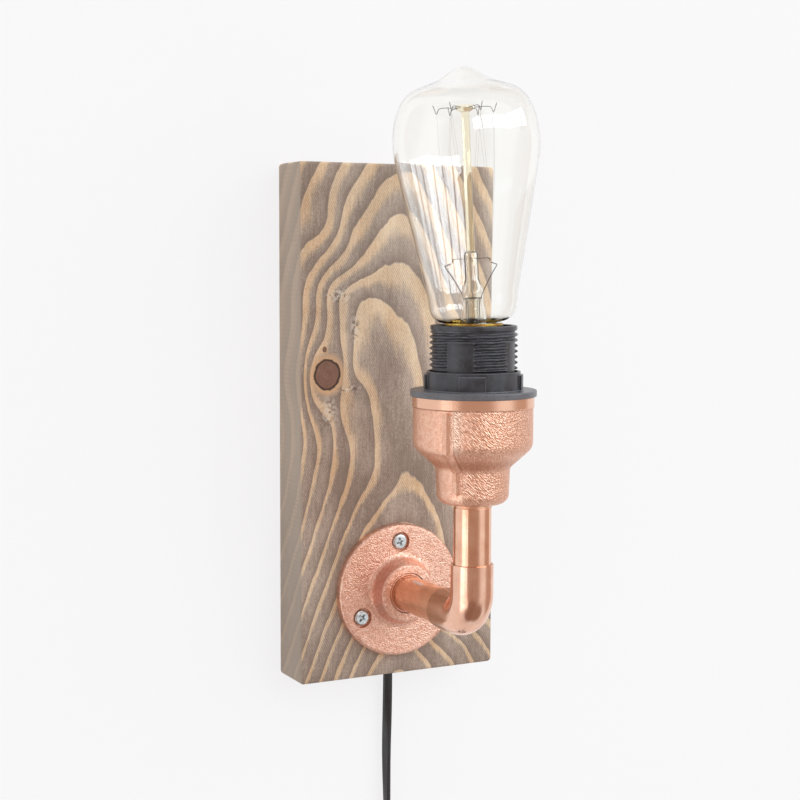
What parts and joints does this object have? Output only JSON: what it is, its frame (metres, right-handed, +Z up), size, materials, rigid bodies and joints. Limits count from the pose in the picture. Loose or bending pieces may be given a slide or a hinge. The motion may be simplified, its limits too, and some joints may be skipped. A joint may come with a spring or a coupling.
{
  "type": "wall lamp",
  "caption": "Wall sconce: wooden board, cast pipe flange, copper pipe arm and elbow, cast reducing socket, black screw lampholder, clear filament bulb and a plug-in cord",
  "frame": {"origin": "centre of the board's back face, on the wall", "axes": "+X to the right, +Y into the wall, +Z up; the lamp stands out along -Y"},
  "size_m": [0.1072, 0.1302, 0.5561],
  "materials": {
    "board_wood": "brushed and stained softwood, matt",
    "zinc_steel": "bright zinc plate",
    "copper_cast": "copper paint on a sand casting",
    "copper_tube": "raw copper, lightly scratched",
    "copper_polished": "polished copper",
    "holder_black": "satin moulded black",
    "brass": "bright rolled brass",
    "insert_ceramic": "unglazed white",
    "solder": "dull solder",
    "black_glass": "black cap insulator",
    "clear_glass": "clear, faintly warm",
    "stem_glass": "clear with a warm core",
    "support_wire": "dark drawn wire",
    "filament_carbon": "dark filament",
    "cord_black": "satin black sheath",
    "copper_strand": "bare stranded copper",
    "plug_black": "satin moulded black",
    "tie_black": "flat covered wire"
  },
  "bodies": {
    "lamp": {"back_board": "board_wood", "hanger_plate": "zinc_steel", "hanger_screw_1": "zinc_steel", "hanger_screw_2": "zinc_steel", "cord_saddle": "plug_black", "saddle_screw_1": "zinc_steel", "saddle_screw_2": "zinc_steel", "pipe_flange": "copper_cast", "flange_screw_1": "zinc_steel", "flange_screw_2": "zinc_steel", "flange_screw_3": "zinc_steel", "arm_tube": "copper_tube", "elbow": "copper_polished", "riser_tube": "copper_polished", "riser_joint": "copper_tube", "reducing_socket": "copper_cast", "neck_bush": "holder_black", "nipple": "zinc_steel", "lock_nut": "zinc_steel", "inner_nut": "zinc_steel", "holder_base": "holder_black", "holder_sleeve": "holder_black", "shade_ring": "holder_black", "holder_insert": "insert_ceramic", "screw_shell": "brass", "centre_contact": "brass", "terminal_1": "brass", "terminal_2": "brass", "terminal_screw_1": "zinc_steel", "terminal_screw_2": "zinc_steel", "cord_inner": "cord_black", "conductor_1": "copper_strand", "conductor_2": "copper_strand", "cord_lead": "cord_black", "cord_coil": "cord_black", "coil_tie": "tie_black", "cord_tail": "cord_black", "plug_body": "plug_black", "plug_pin_1": "zinc_steel", "plug_pin_2": "zinc_steel"},
    "bulb_foot": {"bulb_tip": "solder", "bulb_insulator": "black_glass"},
    "bulb": {"bulb_cap": "brass", "bulb_glass": "clear_glass", "bulb_stem": "stem_glass", "upper_support": "support_wire", "lower_support": "support_wire", "filament": "filament_carbon", "lead_wire_1": "support_wire", "lead_wire_2": "support_wire"}
  },
  "joints": [
    {"name": "bulb_rise", "type": "slide", "parent": "lamp", "child": "bulb_foot", "axis": [0, 0, 1], "range_m": [0, 0.02]},
    {"name": "bulb_turn", "type": "hinge", "parent": "bulb_foot", "child": "bulb", "pos_m": [-0.0016, -0.0995, 0.04], "axis": [0, 0, 1], "range_deg": [0, 1980]}
  ],
  "couplings": [
    {"joint": "bulb_rise", "follows": "bulb_turn", "m_per_rad": 0.00057751}
  ]
}
